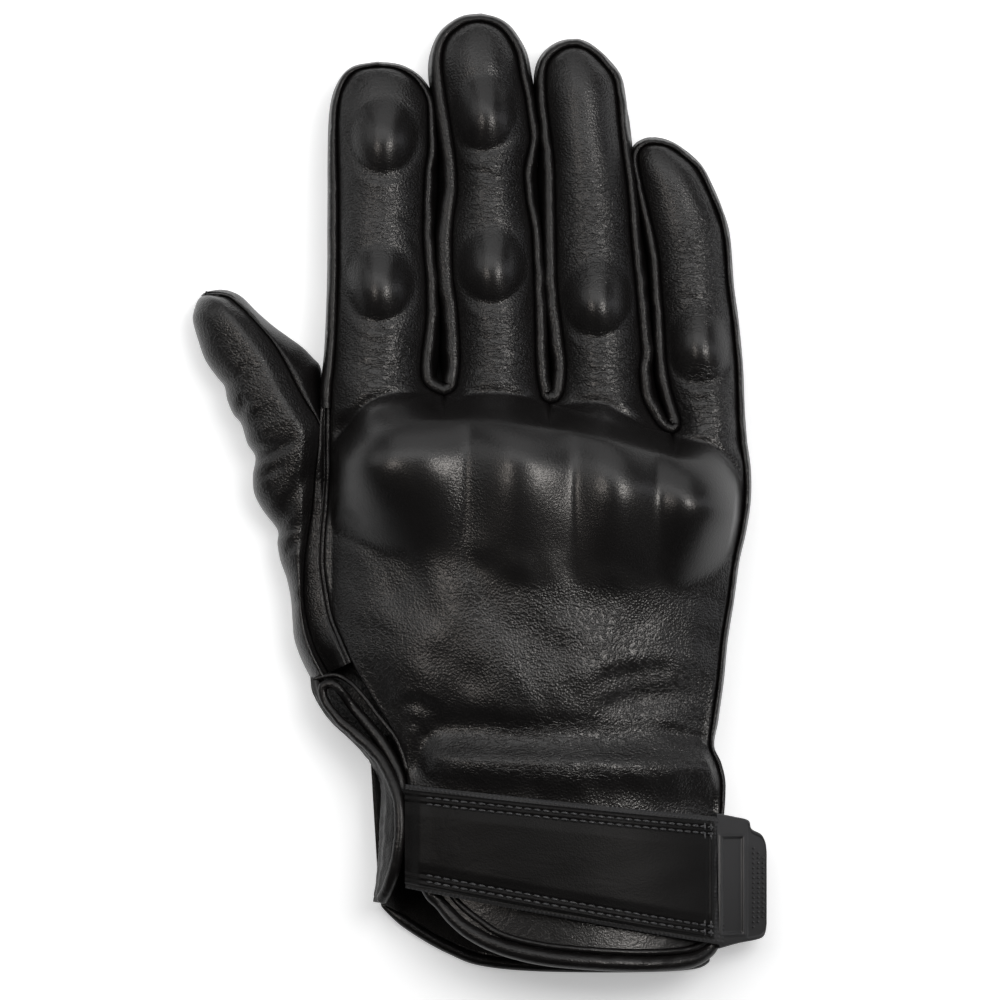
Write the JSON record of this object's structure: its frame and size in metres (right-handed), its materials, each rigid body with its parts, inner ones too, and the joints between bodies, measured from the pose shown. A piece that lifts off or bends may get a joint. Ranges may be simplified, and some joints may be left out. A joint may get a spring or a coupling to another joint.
{
  "type": "riding glove",
  "caption": "Short-cuff leather riding glove for the right hand, with padded fingers and knuckles, a slit at the wrist and a hook-and-loop strap with a rubber pull tab.",
  "frame": {"origin": "on the flat underside of the palm, under the middle of the back of the hand", "axes": "+X from the thumb to the little finger, +Y to the finger tips, +Z out of the back of the hand"},
  "size_m": [0.1414, 0.2374, 0.0392],
  "materials": {
    "leather": "black full-grain leather, soft sheen",
    "wall_leather": "black leather, finer grain",
    "binding": "thin black leather, wrapped and wrinkled",
    "lining": "dark brushed lining cloth",
    "guard": "moulded, hidden under the leather",
    "foam": "soft foam, hidden under the guard",
    "textile": "black woven textile",
    "tab_rubber": "moulded, satin, with raised dots"
  },
  "bodies": {
    "hand": {"back_panel": "leather", "palm_panel": "leather", "little_side_wall": "wall_leather", "thumb_side_strip": "wall_leather", "thenar_panel": "leather", "crotch_gussets": "wall_leather", "knuckle_guard": "guard", "knuckle_foam": "foam", "back_lining": "lining", "palm_lining": "lining", "wrist_elastic": "textile", "vent_binding": "binding", "palm_hem": "binding", "cuff_flap": "leather", "loop_patch": "textile"},
    "index": {"index_back": "leather", "index_sidewalls": "wall_leather", "index_palm": "leather", "index_lining": "lining", "index_pads": "guard"},
    "middle": {"middle_back": "leather", "middle_sidewalls": "wall_leather", "middle_palm": "leather", "middle_lining": "lining", "middle_pads": "guard"},
    "ring": {"ring_back": "leather", "ring_sidewalls": "wall_leather", "ring_palm": "leather", "ring_lining": "lining", "ring_pad": "guard"},
    "little": {"little_back": "leather", "little_sidewalls": "wall_leather", "little_palm": "leather", "little_lining": "lining", "little_pad": "guard"},
    "thumb": {"thumb_back": "leather", "thumb_inner_wall": "wall_leather", "thumb_palm": "leather", "thumb_lining": "lining"},
    "strap": {"strap_band": "textile", "strap_cover": "leather", "hook_patch": "textile", "pull_tab": "tab_rubber"}
  },
  "joints": [
    {"name": "index_bend", "type": "hinge", "parent": "hand", "child": "index", "pos_m": [-0.03625, 0.041, 0.009], "axis": [-0.9995, -0.0314, 0], "range_deg": [0, 60], "stiffness_Nm_per_rad": 0.2},
    {"name": "middle_bend", "type": "hinge", "parent": "hand", "child": "middle", "pos_m": [-0.00825, 0.0405, 0.009], "axis": [-0.9985, -0.0541, 0], "range_deg": [0, 60], "stiffness_Nm_per_rad": 0.2},
    {"name": "ring_bend", "type": "hinge", "parent": "hand", "child": "ring", "pos_m": [0.0194, 0.0385, 0.009], "axis": [-0.9963, -0.0854, 0], "range_deg": [0, 60], "stiffness_Nm_per_rad": 0.2},
    {"name": "little_bend", "type": "hinge", "parent": "hand", "child": "little", "pos_m": [0.04392, 0.0335, 0.009], "axis": [-0.9925, -0.1219, 0], "range_deg": [0, 60], "stiffness_Nm_per_rad": 0.2},
    {"name": "thumb_bend", "type": "hinge", "parent": "hand", "child": "thumb", "pos_m": [-0.06183, 0.0325, 0.009], "axis": [-0.91, -0.4147, 0], "range_deg": [0, 45], "stiffness_Nm_per_rad": 0.2},
    {"name": "strap_open", "type": "hinge", "parent": "hand", "child": "strap", "pos_m": [-0.0295, -0.069, 0.02325], "axis": [0, -1, 0], "range_deg": [0, 140]}
  ]
}
